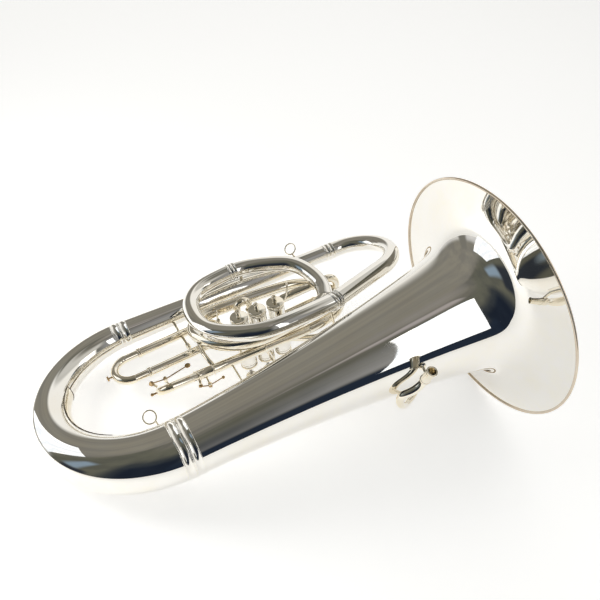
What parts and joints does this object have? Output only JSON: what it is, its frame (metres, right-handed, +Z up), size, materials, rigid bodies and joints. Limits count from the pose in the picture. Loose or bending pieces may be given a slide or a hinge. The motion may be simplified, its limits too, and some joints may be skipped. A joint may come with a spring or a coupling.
{
  "type": "tuba",
  "caption": "Silver-plated upright-bell tuba with front-action piston valves, lying on its side, with pull slides, water keys and strap rings.",
  "frame": {"origin": "centre of the bounding box at floor level, with the tuba lying on its bell rim and bottom bow", "axes": "+X towards the bell rim, along the longest extent; +Y from the bell towards the outer branch; +Z up, away from the floor"},
  "size_m": [0.8114, 0.5508, 0.4398],
  "materials": {
    "silver_plate": "polished",
    "silver_trim": "polished",
    "rim_wire": "polished",
    "piston_nickel": "satin",
    "spring_steel": "satin",
    "valve_felt": "matte",
    "cork_pad": "matte"
  },
  "bodies": {
    "horn": {"bell": "silver_plate", "bell_collar": "silver_trim", "bell_rim": "rim_wire", "body_stays": "silver_trim", "bottom_bow": "silver_plate", "bottom_cap_1": "silver_plate", "bottom_cap_2": "silver_plate", "bottom_cap_3": "silver_plate", "bow_guard": "silver_trim", "branch_collar": "silver_trim", "first_slide_sleeves": "silver_plate", "leadpipe": "silver_plate", "leadpipe_collar": "silver_trim", "loop_collar": "silver_trim", "loop_joint_collar": "silver_trim", "lower_loop": "silver_plate", "lower_strap_ring": "silver_trim", "main_slide_lower_sleeve": "silver_plate", "main_slide_upper_sleeve": "silver_plate", "mouthpiece_receiver": "silver_plate", "outer_branch": "silver_plate", "receiver_brace": "silver_trim", "second_slide_sleeves": "silver_plate", "sleeve_water_key_saddle": "silver_trim", "third_slide_sleeves": "silver_plate", "thumb_ring": "silver_trim", "top_bow": "silver_plate", "top_bow_collar": "silver_trim", "top_cap_1": "silver_plate", "top_cap_2": "silver_plate", "top_cap_3": "silver_plate", "upper_loop": "silver_plate", "upper_strap_ring": "silver_trim", "valve_casing_1": "silver_plate", "valve_casing_2": "silver_plate", "valve_casing_3": "silver_plate", "valve_felts": "valve_felt", "valve_knuckles": "silver_plate", "valve_spring_1": "spring_steel", "valve_spring_2": "spring_steel", "valve_spring_3": "spring_steel", "valve_stays": "silver_trim"},
    "valve_1": {"piston_1": "piston_nickel", "finger_button_1": "silver_plate"},
    "valve_2": {"piston_2": "piston_nickel", "finger_button_2": "silver_plate"},
    "valve_3": {"piston_3": "piston_nickel", "finger_button_3": "silver_plate"},
    "main_slide": {"main_tuning_slide": "silver_plate", "main_slide_knob": "silver_trim", "main_water_key_saddle": "silver_trim"},
    "first_valve_slide": {"first_slide": "silver_plate"},
    "second_valve_slide": {"second_slide": "silver_plate"},
    "third_valve_slide": {"third_slide": "silver_plate", "third_slide_knob": "silver_trim"},
    "water_key_main": {"main_water_key": "silver_trim", "main_water_key_pad": "cork_pad"},
    "water_key_sleeve": {"sleeve_water_key": "silver_trim"}
  },
  "joints": [
    {"name": "valve_1_press", "type": "slide", "parent": "horn", "child": "valve_1", "axis": [-0.2096, 0.1514, 0.966], "range_m": [0, 0.017], "stiffness_N_per_m": 220, "springref_m": -0.012, "deforming": ["valve_spring_1"]},
    {"name": "valve_2_press", "type": "slide", "parent": "horn", "child": "valve_2", "axis": [-0.2096, 0.1514, 0.966], "range_m": [0, 0.017], "stiffness_N_per_m": 220, "springref_m": -0.012, "deforming": ["valve_spring_2"]},
    {"name": "valve_3_press", "type": "slide", "parent": "horn", "child": "valve_3", "axis": [-0.2096, 0.1514, 0.966], "range_m": [0, 0.017], "stiffness_N_per_m": 220, "springref_m": -0.012, "deforming": ["valve_spring_3"]},
    {"name": "main_slide_pull", "type": "slide", "parent": "horn", "child": "main_slide", "axis": [-0.974, 0.0541, -0.2198], "range_m": [0, 0.05]},
    {"name": "third_slide_pull", "type": "slide", "parent": "horn", "child": "third_valve_slide", "axis": [-0.9773, 0, -0.212], "range_m": [0, 0.045]},
    {"name": "second_slide_pull", "type": "slide", "parent": "horn", "child": "second_valve_slide", "axis": [-0.2096, 0.1514, 0.966], "range_m": [0, 0.022]},
    {"name": "first_slide_pull", "type": "slide", "parent": "horn", "child": "first_valve_slide", "axis": [0.9773, 0, 0.212], "range_m": [0, 0.045]},
    {"name": "main_water_key_lift", "type": "hinge", "parent": "main_slide", "child": "water_key_main", "pos_m": [-0.17866, 0.09228, 0.09081], "axis": [0.1292, 0.9836, -0.1262], "range_deg": [0, 12], "stiffness_Nm_per_rad": 0.05, "springref_deg": -34.38},
    {"name": "sleeve_water_key_lift", "type": "hinge", "parent": "horn", "child": "water_key_sleeve", "pos_m": [-0.10902, 0.06257, 0.07641], "axis": [-0.2096, 0.1514, 0.966], "range_deg": [0, 12], "stiffness_Nm_per_rad": 0.05, "springref_deg": -34.38}
  ]
}
